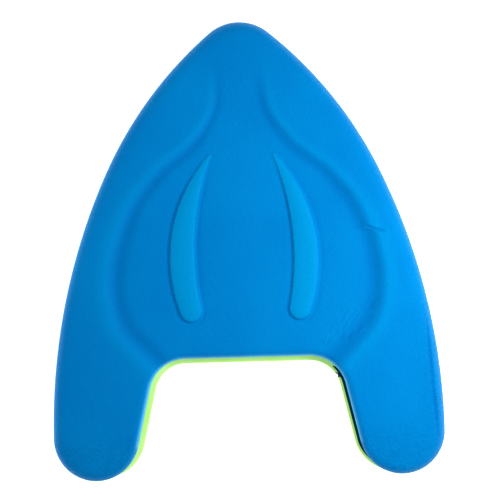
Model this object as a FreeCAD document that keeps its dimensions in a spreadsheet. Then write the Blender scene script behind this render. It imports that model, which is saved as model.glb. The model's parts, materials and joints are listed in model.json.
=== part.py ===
import FreeCAD, Part
import math
import os

import Sketcher
from FreeCAD import Vector

# A delta-shaped swimming kickboard: a flat base skin, a buoyant foam core and a moulded deck skin
# that wraps over the core and meets the base at a seam. Millimetres, +Z up, +Y towards the nose,
# +X to the swimmer's right, origin on the floor in the middle of the board's outline.

# alias, value, meaning
SIZES = [
    ("board_length", 430.0, "nose tip to the ends of the legs"),
    ("board_width", 369.5, "across the widest part of the two legs"),
    ("board_height", 34.0, "floor to the crown of the deck"),
    ("nose_radius", 43.3, "rounding of the nose in plan"),
    ("nose_half_width", 27.7, "half width where the nose arc becomes the flank"),
    ("flank_joint", 142.6, "nose tip back to where the front flank becomes the rear flank"),
    ("leg_end_radius", 40.2, "rounding of the leg ends in plan"),
    ("notch_depth", 113.3, "leg ends forward to the deck's edge in the notch"),
    ("notch_lean", 13.1, "lean of the notch walls from the centre line, in degrees"),
    ("notch_corner_radius", 35.4, "inner corners of the notch at the deck's edge"),
    ("base_thickness", 6.0, "base skin"),
    ("base_inset", 8.0, "base edge in from the widest line of the rail"),
    ("base_lip", 5.3, "how far the base stands out of the deck's wall in the notch"),
    ("base_lower_radius", 3.0, "rounding of the base skin's lower edge"),
    ("base_upper_radius", 1.2, "rounding of its upper edge, which makes the seam's groove"),
    ("skin_thickness", 3.0, "deck skin"),
    ("upper_rim_radius", 7.0, "rolled upper edge of the deck"),
    ("lower_rim_radius", 8.0, "lower edge of the deck, tucked in to the seam"),
    ("crown_fall", 1.6, "crown down to the edge of the board, as a long gentle bow"),
    ("crown_reach", 52.0, "how far in from the edge that bow begins"),
    ("rail_fall", 7.5, "further fall over the rounded rail"),
    ("rail_reach", 21.0, "how far in from the edge that fall begins"),
    ("nose_fall", 2.5, "extra fall of the deck at the nose"),
    ("nose_reach", 70.0, "how far back from the nose tip that fall begins"),
    ("panel_depth", 5.0, "sunk middle panel below the crown, where it is deepest"),
    ("panel_start", 55.0, "nose tip back to where the panel begins to sink"),
    ("panel_ramp", 180.0, "length over which the panel sinks to its full depth"),
    ("shoulder_narrow", 9.0, "width of the shoulder's slope at the neck"),
    ("shoulder_wide", 17.0, "width of the shoulder's slope at the hips"),
    ("neck_half_width", 24.5, "half width of the panel at the neck"),
    ("neck_back", 76.0, "nose tip back to the neck"),
    ("collar_half_width", 45.5, "half width of the panel where the neck has opened out"),
    ("collar_back", 112.0, "nose tip back to that place"),
    ("front_band", 48.6, "deck left beside the panel at its front"),
    ("front_back", 141.5, "nose tip back to where that is measured"),
    ("chest_band", 36.0, "deck left beside the panel at its chest"),
    ("chest_back", 178.0, "nose tip back to where that is measured"),
    ("hip_band", 37.0, "deck left beside the panel at its hips"),
    ("hip_ahead", 81.5, "notch forward to where that is measured"),
    ("rear_band", 54.0, "deck left beside the panel at its rear"),
    ("rear_ahead", 34.5, "notch forward to where that is measured"),
    ("ridge_height", 2.6, "height of the two moulded ridges"),
    ("ridge_tip_height", 0.8, "their height at the pointed tips"),
    ("ridge_rise", 45.0, "length over which a ridge rises to its full height"),
    ("ridge_tip_side", 30.4, "centre of the ridge's narrow tip out from the centre line"),
    ("ridge_tip_back", 126.6, "nose tip back to the centre of that tip"),
    ("ridge_tip_radius", 1.3, "rounding of the ridge's tip"),
    ("ridge_end_side", 51.4, "centre of the ridge's wide end out from the centre line"),
    ("ridge_end_ahead", 45.1, "centre of that end ahead of the notch"),
    ("ridge_end_radius", 10.4, "rounding of the ridge's end"),
    ("ridge_outer_radius", 145.5, "curve of the ridge's outer side"),
    ("ridge_inner_radius", 254.0, "curve of the ridge's inner side"),
    ("ridge_edge_radius", 1.0, "rounding of the ridge's upper edge"),
    ("form_step", 6.0, "spacing of the points that shape the deck's surface"),
]

START, END, CENTRE = 1, 2, 3
ORIGIN = -1
Y_AXIS = -2
UP = Vector(0, 0, 1)
TOUCH = 0.01

doc = FreeCAD.newDocument("Kickboard")
sheet = doc.addObject("Spreadsheet::Sheet", "Sizes")
for row, (alias, value, meaning) in enumerate(SIZES, 1):
    sheet.set(f"A{row}", meaning)
    sheet.set(f"B{row}", str(value))
    sheet.setAlias(f"B{row}", alias)
doc.recompute()


def size(alias):
    return float(sheet.get(alias))


def circle_meeting(first, first_radius, second, second_radius):
    """The crossing of two circles that lies nearer the centre line's far side (smaller x)."""
    span = second - first
    along = (first_radius**2 - second_radius**2 + span.Length**2) / (2 * span.Length)
    across = math.sqrt(first_radius**2 - along**2)
    unit = Vector(span).normalize()
    side = Vector(-unit.y, unit.x, 0)
    crossings = [first + unit * along + side * (sign * across) for sign in (1, -1)]
    return min(crossings, key=lambda point: point.x)


class Plan:
    """Centres, radii and joints of the outline's right half, drawn some way inside the rail.

    rail_inset moves the nose, the flanks and the legs' outer sides inwards. notch_inset moves the
    notch walls into the board, or out of it where it is negative.
    """

    def __init__(self, rail_inset, notch_inset):
        half_length = size("board_length") / 2
        self.nose_tip = half_length - rail_inset
        self.nose_radius = size("nose_radius") - rail_inset
        self.nose_centre = Vector(0, self.nose_tip - self.nose_radius, 0)
        nose_angle = math.acos(size("nose_half_width") / size("nose_radius"))
        nose_out = Vector(math.cos(nose_angle), math.sin(nose_angle), 0)
        self.nose_joint = self.nose_centre + nose_out * self.nose_radius

        self.leg_radius = size("leg_end_radius") - (rail_inset + notch_inset) / 2
        self.half_width = size("board_width") / 2 - rail_inset
        self.leg_centre = Vector(
            self.half_width - self.leg_radius, size("leg_end_radius") - half_length, 0
        )
        self.leg_joint = self.leg_centre + Vector(self.leg_radius, 0, 0)

        # The flank is two arcs. Their joint lies on the circle about the point that turns the
        # nose's joint and heading into the leg's, which keeps every meeting smooth.
        chord = self.leg_joint - self.nose_joint
        aside = Vector(chord.y, -chord.x, 0) / (2 * math.tan(nose_angle / 2))
        pivot = (self.nose_joint + self.leg_joint) / 2 + aside
        reach = (self.nose_joint - pivot).Length
        joint_y = half_length - size("flank_joint")
        self.flank_joint = Vector(
            pivot.x + math.sqrt(reach**2 - (joint_y - pivot.y) ** 2), joint_y, 0
        )
        self.front_centre = self.centre_through(self.nose_joint, nose_out, self.flank_joint)
        self.front_radius = (self.front_centre - self.nose_joint).Length
        self.rear_centre = self.centre_through(self.leg_joint, Vector(1, 0, 0), self.flank_joint)
        self.rear_radius = (self.rear_centre - self.leg_joint).Length

        lean = math.radians(size("notch_lean"))
        self.throat = size("notch_depth") - half_length + notch_inset
        self.corner_radius = size("notch_corner_radius") + notch_inset
        into_notch = Vector(-math.cos(lean), -math.sin(lean), 0)
        forward = Vector(-math.sin(lean), math.cos(lean), 0)
        self.wall_foot = self.leg_centre + into_notch * self.leg_radius
        corner_start = self.wall_foot + into_notch * self.corner_radius
        along = (self.throat - self.corner_radius - corner_start.y) / math.cos(lean)
        self.corner_centre = corner_start + forward * along
        self.wall_head = self.corner_centre - into_notch * self.corner_radius
        self.throat_joint = self.corner_centre + Vector(0, self.corner_radius, 0)

    @staticmethod
    def centre_through(start, outwards, through):
        """Centre of the arc that leaves start square to outwards and passes through a point."""
        chord = through - start
        return start + outwards * (chord.Length**2 / (2 * chord.dot(outwards)))

    def half_width_at(self, y):
        """The outline's half width on the flanks."""
        if y > self.flank_joint.y:
            centre, radius = self.front_centre, self.front_radius
        else:
            centre, radius = self.rear_centre, self.rear_radius
        return centre.x + math.sqrt(radius**2 - (y - centre.y) ** 2)


def arc_between(centre, start, end):
    """Sketch arc about centre, anticlockwise from start to end."""
    radius = (start - centre).Length
    first = math.atan2(start.y - centre.y, start.x - centre.x)
    last = math.atan2(end.y - centre.y, end.x - centre.x)
    while last < first:
        last += 2 * math.pi
    return Part.ArcOfCircle(Part.Circle(centre, UP, radius), first, last)


def mirrored(point):
    return Vector(-point.x, point.y, point.z)


def bound(sketch, name, expression, *definition):
    """Adds a sizing constraint, with its present value, and ties it to the sheet."""
    index = sketch.addConstraint(Sketcher.Constraint(*definition))
    sketch.renameConstraint(index, name)
    sketch.setExpression(f"Constraints.{name}", expression)


def draw_outline(sketch, plan, rail_inset, notch_inset):
    """The closed outline, with its insets given as expressions of the sheet."""
    left_corner_centre = mirrored(plan.corner_centre)
    shapes = [
        arc_between(plan.nose_centre, plan.nose_joint, mirrored(plan.nose_joint)),
        arc_between(mirrored(plan.front_centre), mirrored(plan.nose_joint), mirrored(plan.flank_joint)),
        arc_between(mirrored(plan.rear_centre), mirrored(plan.flank_joint), mirrored(plan.leg_joint)),
        arc_between(mirrored(plan.leg_centre), mirrored(plan.leg_joint), mirrored(plan.wall_foot)),
        Part.LineSegment(mirrored(plan.wall_foot), mirrored(plan.wall_head)),
        arc_between(left_corner_centre, mirrored(plan.throat_joint), mirrored(plan.wall_head)),
        Part.LineSegment(mirrored(plan.throat_joint), plan.throat_joint),
        arc_between(plan.corner_centre, plan.wall_head, plan.throat_joint),
        Part.LineSegment(plan.wall_head, plan.wall_foot),
        arc_between(plan.leg_centre, plan.wall_foot, plan.leg_joint),
        arc_between(plan.rear_centre, plan.leg_joint, plan.flank_joint),
        arc_between(plan.front_centre, plan.flank_joint, plan.nose_joint),
    ]
    nose, left_front, left_rear, left_leg, left_wall, left_corner = range(6)
    throat, right_corner, right_wall, right_leg, right_rear, right_front = range(6, 12)
    sketch.addGeometry(shapes, False)
    joints = [
        (nose, END, left_front, START),
        (left_front, END, left_rear, START),
        (left_rear, END, left_leg, START),
        (left_leg, END, left_wall, START),
        (left_wall, END, left_corner, END),
        (left_corner, START, throat, START),
        (throat, END, right_corner, END),
        (right_corner, START, right_wall, START),
        (right_wall, END, right_leg, START),
        (right_leg, END, right_rear, START),
        (right_rear, END, right_front, START),
        (right_front, END, nose, START),
    ]
    for joint in joints:
        sketch.addConstraint(Sketcher.Constraint("Tangent", *joint))
    level = [
        (nose, START, nose, END),
        (right_rear, END, left_rear, START),
        (right_leg, END, right_leg, CENTRE),
        (left_leg, START, left_leg, CENTRE),
        (throat, START, throat, END),
    ]
    for pair in level:
        sketch.addConstraint(Sketcher.Constraint("Horizontal", *pair))
    sketch.addConstraint(Sketcher.Constraint("PointOnObject", nose, CENTRE, Y_AXIS))
    sketch.addConstraint(Sketcher.Constraint("Symmetric", left_leg, CENTRE, right_leg, CENTRE, Y_AXIS))
    sketch.addConstraint(Sketcher.Constraint("Equal", left_leg, right_leg))
    sketch.addConstraint(Sketcher.Constraint("Equal", left_corner, right_corner))

    nose_radius = f"(Sizes.nose_radius - {rail_inset})"
    leg_radius = f"(Sizes.leg_end_radius - ({rail_inset} + {notch_inset}) / 2)"
    bound(sketch, "nose_rounding", nose_radius, "Radius", nose, plan.nose_radius)
    bound(
        sketch, "nose_place", f"Sizes.board_length / 2 - {rail_inset} - {nose_radius}",
        "DistanceY", ORIGIN, START, nose, CENTRE, plan.nose_centre.y,
    )
    bound(
        sketch, "nose_spread", f"Sizes.nose_half_width * {nose_radius} / Sizes.nose_radius",
        "DistanceX", ORIGIN, START, nose, START, plan.nose_joint.x,
    )
    bound(
        sketch, "flank_place", "Sizes.board_length / 2 - Sizes.flank_joint",
        "DistanceY", ORIGIN, START, right_rear, END, plan.flank_joint.y,
    )
    bound(sketch, "leg_rounding", leg_radius, "Radius", right_leg, plan.leg_radius)
    bound(
        sketch, "leg_side", f"Sizes.board_width / 2 - {rail_inset} - {leg_radius}",
        "DistanceX", ORIGIN, START, right_leg, CENTRE, plan.leg_centre.x,
    )
    bound(
        sketch, "leg_place", "Sizes.board_length / 2 - Sizes.leg_end_radius",
        "DistanceY", right_leg, CENTRE, ORIGIN, START, -plan.leg_centre.y,
    )
    lean = math.radians(size("notch_lean"))
    bound(
        sketch, "right_lean", "Sizes.notch_lean - 90",
        "Angle", right_wall, lean - math.pi / 2,
    )
    bound(
        sketch, "left_lean", "90 - Sizes.notch_lean",
        "Angle", left_wall, math.pi / 2 - lean,
    )
    bound(
        sketch, "notch_rounding", f"Sizes.notch_corner_radius + {notch_inset}",
        "Radius", right_corner, plan.corner_radius,
    )
    bound(
        sketch, "notch_place", f"Sizes.board_length / 2 - Sizes.notch_depth - {notch_inset}",
        "DistanceY", throat, START, ORIGIN, START, -plan.throat,
    )


def origin_plane(body, role):
    return next(feature for feature in body.Origin.OriginFeatures if feature.Role == role)


def padded_sketch(label, draw, floor, height):
    """A body that is one pad of a sketch, from the level floor up by height (expressions)."""
    body = doc.addObject("PartDesign::Body", label)
    sketch = body.newObject("Sketcher::SketchObject", f"{label}_sketch")
    sketch.AttachmentSupport = [(origin_plane(body, "XY_Plane"), "")]
    sketch.MapMode = "FlatFace"
    sketch.setExpression("AttachmentOffset.Base.z", floor)
    draw(sketch)
    doc.recompute()
    if sketch.solve() != 0:
        raise RuntimeError(f"{label}: the sketch doesn't solve")
    pad = body.newObject("PartDesign::Pad", f"{label}_pad")
    pad.Profile = sketch
    pad.setExpression("Length", height)
    doc.recompute()
    return body


def eased(share):
    """0 to 1 with level ends."""
    share = min(max(share, 0.0), 1.0)
    return share * share * (3 - 2 * share)


def falling(distance, reach, power):
    """1 at the edge, dying out smoothly at reach, and running on a little past the edge."""
    share = 1 - max(distance, -2 * size("form_step")) / reach
    return max(0.0, share) ** power


def shoulder_stations(plan):
    """Points of the panel's edge, from the nose to the notch: (y, half width of the panel)."""
    nose = plan.nose_tip
    throat = plan.throat
    neck = size("neck_half_width")
    stations = [(nose, neck), (nose - size("neck_back"), neck)]
    stations.append((nose - size("collar_back"), size("collar_half_width")))
    for part in ("front", "chest"):
        y = nose - size(f"{part}_back")
        stations.append((y, plan.half_width_at(y) - size(f"{part}_band")))
    for part in ("hip", "rear"):
        y = throat + size(f"{part}_ahead")
        stations.append((y, plan.half_width_at(y) - size(f"{part}_band")))
    stations.append((throat, plan.wall_head.x))
    stations.append((plan.corner_centre.y, plan.throat_joint.x))
    return stations


def panel_half_width(stations, y):
    """Half width of the panel at y and its slope, by a smooth curve through the stations."""
    if y >= stations[0][0]:
        return stations[0][1], 0.0
    if y <= stations[-1][0]:
        return stations[-1][1], 0.0
    index = next(i for i in range(len(stations) - 1) if stations[i + 1][0] <= y)
    slopes = []
    for i in (index, index + 1):
        before = stations[max(i - 1, 0)]
        after = stations[min(i + 1, len(stations) - 1)]
        slopes.append((after[1] - before[1]) / (after[0] - before[0]))
    (start_y, start_x), (end_y, end_x) = stations[index], stations[index + 1]
    span = end_y - start_y
    u = (y - start_y) / span
    width = (
        (1 + 2 * u) * (1 - u) ** 2 * start_x
        + u * (1 - u) ** 2 * span * slopes[0]
        + u * u * (3 - 2 * u) * end_x
        + u * u * (u - 1) * span * slopes[1]
    )
    slope = (
        6 * u * (u - 1) * (start_x - end_x) / span
        + (1 - 4 * u + 3 * u * u) * slopes[0]
        + (3 * u * u - 2 * u) * slopes[1]
    )
    return width, slope


def rail_distance(plan, x, y):
    """How far a place on the deck lies inside the nose, the flanks or the leg ends."""
    place = Vector(x, y, 0)
    from_nose = place - plan.nose_centre
    nose_out = plan.nose_joint - plan.nose_centre
    if y > plan.nose_centre.y and from_nose.y * nose_out.x > from_nose.x * nose_out.y:
        centre, radius = plan.nose_centre, plan.nose_radius
    elif y > plan.flank_joint.y:
        centre, radius = plan.front_centre, plan.front_radius
    elif y > plan.leg_joint.y:
        centre, radius = plan.rear_centre, plan.rear_radius
    else:
        centre, radius = plan.leg_centre, plan.leg_radius
    return radius - (place - centre).Length


def rail_share(plan, x, y):
    """1 on the outer rails, dying out round the leg ends to 0 at the notch."""
    if y > plan.leg_centre.y:
        return 1.0
    turn = math.atan2(plan.leg_centre.y - y, x - plan.leg_centre.x)
    return 1 - eased(turn / (math.pi - math.radians(size("notch_lean"))))


def deck_height(plan, stations, x, y):
    """Height of the deck's upper surface: crowned, with the sunk panel in the middle."""
    x = abs(x)
    edge = rail_distance(plan, x, y)
    fall = size("crown_fall") * falling(edge, size("crown_reach"), 2)
    fall += size("rail_fall") * falling(edge, size("rail_reach"), 3)
    height = size("board_height") - fall * rail_share(plan, x, y)
    height -= size("nose_fall") * falling(plan.nose_tip - y, size("nose_reach"), 2)
    half_width, slope = panel_half_width(stations, y)
    inside = (half_width - x) / math.hypot(1, slope)
    sunk = eased((plan.nose_tip - size("panel_start") - y) / size("panel_ramp"))
    widening = eased((plan.nose_tip - size("neck_back") - y) / size("panel_ramp"))
    narrow, wide = size("shoulder_narrow"), size("shoulder_wide")
    width = narrow + (wide - narrow) * widening
    return height - size("panel_depth") * sunk * eased(inside / width + 0.5)


def deck_lift(y):
    return 0.0


def core_lift(y):
    """The core's top lies a skin's thickness under the deck's."""
    return -size("skin_thickness")


def ridge_lift(y):
    """The ridges rise from their tips towards the notch."""
    tip = size("board_length") / 2 - size("ridge_tip_back")
    low, high = size("ridge_tip_height"), size("ridge_height")
    return low + (high - low) * eased((tip - y) / size("ridge_rise"))


def form_below(plan, lift):
    """Solid under the deck's upper surface, which is raised by what lift gives at each y."""
    stations = shoulder_stations(plan)
    margin = 2 * size("form_step")
    half_x = plan.half_width + margin
    half_y = size("board_length") / 2 + margin
    columns = math.ceil(2 * half_x / size("form_step"))
    rows = math.ceil(2 * half_y / size("form_step"))
    step_x = 2 * half_x / columns
    step_y = 2 * half_y / rows
    across = [column * step_x - half_x for column in range(columns + 1)]
    along = [row * step_y - half_y for row in range(rows + 1)]
    heights = [[deck_height(plan, stations, x, y) + lift(y) for y in along] for x in across]
    surface = Part.BSplineSurface()
    surface.interpolate(heights, -half_x, step_x, -half_y, step_y)
    return surface.toShape().extrude(Vector(0, 0, -2 * size("board_height")))


def rim_entries(shape, level, radius):
    """Fillet entries, all of one radius, for the edges that lie wholly where level says."""
    return [
        (number, radius, radius)
        for number, edge in enumerate(shape.Edges, 1)
        if all(level(edge.valueAt(place).z) for place in edge.ParameterRange)
    ]


def rounded_rims(label, base, floor, inset):
    """Base with its upper and lower rims rounded, an inset form getting the tighter upper one."""
    upper = size("upper_rim_radius") - inset
    lower = size("lower_rim_radius")
    rims = rim_entries(base.Shape, lambda z: abs(z - floor) < TOUCH, lower)
    rims += rim_entries(base.Shape, lambda z: z > floor + lower, upper)
    fillet = doc.addObject("Part::Fillet", label)
    fillet.Base = base
    fillet.Edges = rims
    doc.recompute()
    return fillet


def draw_ridge(sketch, plan, side):
    """One ridge's outline: two long arcs between a narrow round tip and a wide round end."""
    tip = Vector(size("ridge_tip_side"), plan.nose_tip - size("ridge_tip_back"), 0)
    end = Vector(size("ridge_end_side"), plan.throat + size("ridge_end_ahead"), 0)
    tip_radius, end_radius = size("ridge_tip_radius"), size("ridge_end_radius")
    outer_radius, inner_radius = size("ridge_outer_radius"), size("ridge_inner_radius")
    outer_centre = circle_meeting(tip, outer_radius - tip_radius, end, outer_radius - end_radius)
    inner_centre = circle_meeting(tip, inner_radius + tip_radius, end, inner_radius + end_radius)
    outer_tip = tip + (tip - outer_centre).normalize() * tip_radius
    inner_tip = tip + (inner_centre - tip).normalize() * tip_radius
    outer_end = end + (end - outer_centre).normalize() * end_radius
    inner_end = end + (inner_centre - end).normalize() * end_radius
    arcs = [
        (outer_centre, outer_end, outer_tip),
        (tip, outer_tip, inner_tip),
        (inner_centre, inner_end, inner_tip),
        (end, inner_end, outer_end),
    ]
    first, last = START, END
    if side < 0:
        arcs = [tuple(mirrored(point) for point in (arc[0], arc[2], arc[1])) for arc in arcs]
        first, last = END, START
    sketch.addGeometry([arc_between(*arc) for arc in arcs], False)
    outer, narrow_tip, inner, wide_end = range(4)
    for joint in (
        (outer, last, narrow_tip, first),
        (narrow_tip, last, inner, last),
        (inner, first, wide_end, first),
        (wide_end, last, outer, first),
    ):
        sketch.addConstraint(Sketcher.Constraint("Tangent", *joint))
    for name, shape, centre in (("tip", narrow_tip, tip), ("end", wide_end, end)):
        where = (ORIGIN, START, shape, CENTRE) if side > 0 else (shape, CENTRE, ORIGIN, START)
        bound(sketch, f"{name}_side", f"Sizes.ridge_{name}_side", "DistanceX", *where, centre.x)
    bound(
        sketch, "tip_place", "Sizes.board_length / 2 - Sizes.ridge_tip_back",
        "DistanceY", ORIGIN, START, narrow_tip, CENTRE, tip.y,
    )
    bound(
        sketch, "end_place", "Sizes.board_length / 2 - Sizes.notch_depth - Sizes.ridge_end_ahead",
        "DistanceY", wide_end, CENTRE, ORIGIN, START, -end.y,
    )
    for shape, name, radius in (
        (narrow_tip, "ridge_tip_radius", tip_radius),
        (wide_end, "ridge_end_radius", end_radius),
        (outer, "ridge_outer_radius", outer_radius),
        (inner, "ridge_inner_radius", inner_radius),
    ):
        bound(sketch, name, f"Sizes.{name}", "Radius", shape, radius)


def trimmed(label, blank, form):
    common = doc.addObject("Part::Common", label)
    common.Base = blank
    common.Tool = form
    doc.recompute()
    return common


def upper_form(label, shape):
    form = doc.addObject("Part::Feature", label)
    form.Shape = shape
    return form


def make_base(plan):
    """The flat skin under the board, its lower edge rounded and its upper edge eased."""
    body = padded_sketch(
        "base_skin",
        lambda sketch: draw_outline(sketch, plan, "Sizes.base_inset", "(-Sizes.base_lip)"),
        "0",
        "Sizes.base_thickness",
    )
    for label, level, radius in (
        ("base_lower_rounding", 0.0, "Sizes.base_lower_radius"),
        ("base_upper_rounding", size("base_thickness"), "Sizes.base_upper_radius"),
    ):
        base_feature = body.Tip
        names = [
            f"Edge{number}"
            for number, edge in enumerate(body.Shape.Edges, 1)
            if all(abs(vertex.Z - level) < TOUCH for vertex in edge.Vertexes)
        ]
        rounding = body.newObject("PartDesign::Fillet", label)
        rounding.Base = (base_feature, names)
        rounding.setExpression("Radius", radius)
        doc.recompute()
    return body


def make_core(outer):
    """The foam that fills the deck skin, a skin's thickness inside it all round."""
    skin = size("skin_thickness")
    plan = Plan(skin, skin)
    blank = padded_sketch(
        "core_blank",
        lambda sketch: draw_outline(sketch, plan, "Sizes.skin_thickness", "Sizes.skin_thickness"),
        "Sizes.base_thickness",
        "Sizes.board_height",
    )
    trim = trimmed("core_trim", blank, upper_form("core_form", form_below(outer, core_lift)))
    return rounded_rims("foam_core", trim, size("base_thickness"), skin)


def make_deck(outer, core):
    """The moulded skin: its outside with the two ridges, less the core."""
    blank = padded_sketch(
        "deck_blank",
        lambda sketch: draw_outline(sketch, outer, "0", "0"),
        "Sizes.base_thickness",
        "Sizes.board_height",
    )
    trim = trimmed("deck_trim", blank, upper_form("deck_form", form_below(outer, deck_lift)))
    outside = rounded_rims("deck_outside", trim, size("base_thickness"), 0)
    ridge_form = upper_form("ridge_form", form_below(outer, ridge_lift))
    pieces = [outside]
    for name, side in (("left", -1), ("right", 1)):
        ridge_blank = padded_sketch(
            f"{name}_ridge_blank",
            lambda sketch, side=side: draw_ridge(sketch, outer, side),
            "Sizes.board_height / 2",
            "Sizes.board_height",
        )
        ridge = trimmed(f"{name}_ridge_trim", ridge_blank, ridge_form)
        rounded = doc.addObject("Part::Fillet", f"{name}_ridge")
        rounded.Base = ridge
        rounded.Edges = rim_entries(
            ridge.Shape, lambda z: z > size("board_height") / 2 + TOUCH, size("ridge_edge_radius")
        )
        doc.recompute()
        pieces.append(rounded)
    joined = doc.addObject("Part::MultiFuse", "deck_with_ridges")
    joined.Shapes = pieces
    doc.recompute()
    deck = doc.addObject("Part::Cut", "deck_skin")
    deck.Base = joined
    deck.Tool = core
    doc.recompute()
    return deck


outer_plan = Plan(0, 0)
base_skin = make_base(Plan(size("base_inset"), -size("base_lip")))
foam_core = make_core(outer_plan)
deck_skin = make_deck(outer_plan, foam_core)

for item in doc.Objects:
    if "Invalid" in item.State or "Error" in item.State:
        raise RuntimeError(f"{item.Label} failed: {item.State}")
subparts = [deck_skin, foam_core, base_skin]
for item in subparts:
    if item.Shape.isNull() or not item.Shape.isValid():
        raise RuntimeError(f"{item.Label} has no valid shape")
os.makedirs("parts", exist_ok=True)
for item in subparts:
    item.Shape.exportStep(f"parts/{item.Label}.step")
    solids = len(item.Shape.Solids)
    print(f"{item.Label}: {solids} solid, {item.Shape.Volume / 1000:.1f} cubic centimetres")
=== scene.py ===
# %% [markdown]
# # A swimming kickboard
# A kickboard is a laminate of soft foam. This one has three pieces: a blue deck skin that is
# moulded over the rails, a buoyant core inside it, and a light green base skin, which from above
# shows only in the notch between the two legs. The frame gives the places and sizes, and this
# file gives the looks.

# %% Load the frame and measure it
import json
import math

import bpy
import numpy as np
from mathutils import Matrix, Vector

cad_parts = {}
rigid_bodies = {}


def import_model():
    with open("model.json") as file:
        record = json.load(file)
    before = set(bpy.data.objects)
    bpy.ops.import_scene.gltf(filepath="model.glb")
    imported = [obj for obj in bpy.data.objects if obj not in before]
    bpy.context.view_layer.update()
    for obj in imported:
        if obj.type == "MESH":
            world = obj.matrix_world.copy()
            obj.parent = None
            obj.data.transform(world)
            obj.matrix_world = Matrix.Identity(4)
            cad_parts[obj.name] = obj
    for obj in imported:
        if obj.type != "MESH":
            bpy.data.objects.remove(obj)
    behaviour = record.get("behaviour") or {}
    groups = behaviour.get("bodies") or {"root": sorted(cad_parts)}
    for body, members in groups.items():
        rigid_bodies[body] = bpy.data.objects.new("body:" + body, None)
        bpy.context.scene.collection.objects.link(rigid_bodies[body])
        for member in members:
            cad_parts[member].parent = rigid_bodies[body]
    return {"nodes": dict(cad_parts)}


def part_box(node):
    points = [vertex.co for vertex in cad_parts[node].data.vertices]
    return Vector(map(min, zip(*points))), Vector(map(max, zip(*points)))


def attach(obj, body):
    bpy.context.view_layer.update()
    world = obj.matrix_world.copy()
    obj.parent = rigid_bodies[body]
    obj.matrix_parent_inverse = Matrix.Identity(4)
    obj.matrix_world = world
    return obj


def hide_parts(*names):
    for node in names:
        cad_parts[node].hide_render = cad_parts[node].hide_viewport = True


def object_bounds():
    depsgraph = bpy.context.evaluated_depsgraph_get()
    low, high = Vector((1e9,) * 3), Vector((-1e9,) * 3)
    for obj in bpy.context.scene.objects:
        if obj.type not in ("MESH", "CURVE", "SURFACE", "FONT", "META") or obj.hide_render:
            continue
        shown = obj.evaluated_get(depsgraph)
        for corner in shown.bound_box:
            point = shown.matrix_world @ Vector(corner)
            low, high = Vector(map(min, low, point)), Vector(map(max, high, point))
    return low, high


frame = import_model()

cad_low, cad_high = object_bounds()
_, deck_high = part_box("deck_skin")
base_low, base_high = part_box("base_skin")
print("board", [round(side, 4) for side in (cad_high - cad_low)])

# %% [markdown]
# Blender's operators act on whatever is selected, so one helper selects a single piece and
# nothing else, and another picks some of its faces or edges. A third adds a modifier and applies
# it at once, as a maker does after each step. The last two read and move a piece's points.
# Lengths on the board are in metres.

# %% Helpers for selecting, for modifiers and for points
def only(piece):
    for other in bpy.context.view_layer.objects:
        other.select_set(False)
    piece.select_set(True)
    bpy.context.view_layer.objects.active = piece


def apply_modifier(piece, kind, **settings):
    modifier = piece.modifiers.new(kind.title(), kind)
    for name, value in settings.items():
        setattr(modifier, name, value)
    only(piece)
    bpy.ops.object.modifier_apply(modifier=modifier.name)


def select_parts(piece, kind, chosen):
    """Selects faces or edges by a list of flags, and leaves the piece in edit mode."""
    only(piece)
    bpy.ops.object.mode_set(mode="EDIT")
    bpy.ops.mesh.select_mode(type=kind)
    bpy.ops.mesh.select_all(action="DESELECT")
    bpy.ops.object.mode_set(mode="OBJECT")
    parts = piece.data.polygons if kind == "FACE" else piece.data.edges
    parts.foreach_set("select", np.asarray(chosen, bool))
    bpy.ops.object.mode_set(mode="EDIT")


def points_of(piece):
    flat = np.empty(3 * len(piece.data.vertices))
    piece.data.vertices.foreach_get("co", flat)
    return flat.reshape(-1, 3)


def set_points(piece, points):
    piece.data.vertices.foreach_set("co", points.ravel())
    piece.data.update()


# %% [markdown]
# Seen from above, the board's edge is a chain of smooth bends: a small nose arc, two long arcs
# down each flank, a round leg end, a straight notch wall, a hollow corner and the straight
# throat. One class holds that chain for the right half. It can be drawn further in at the rails
# and further in or out at the notch. Arcs are used and not a free curve, because the distance to
# an arc is one short sum.

# %% The outline in plan
NOSE_RADIUS = 0.0433
NOSE_HALF_WIDTH = 0.0277
FLANK_JOINT = 0.1426
LEG_RADIUS = 0.0402
NOTCH_DEPTH = 0.1133
NOTCH_LEAN = math.radians(13.1)
CORNER_RADIUS = 0.0354
NOSE_BEND, LEG_BEND, CORNER_BEND = 0, 3, 4  # places in the list of bends
TINY = 1e-6


def unit(angle):
    return np.array([math.cos(angle), math.sin(angle)])


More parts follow.
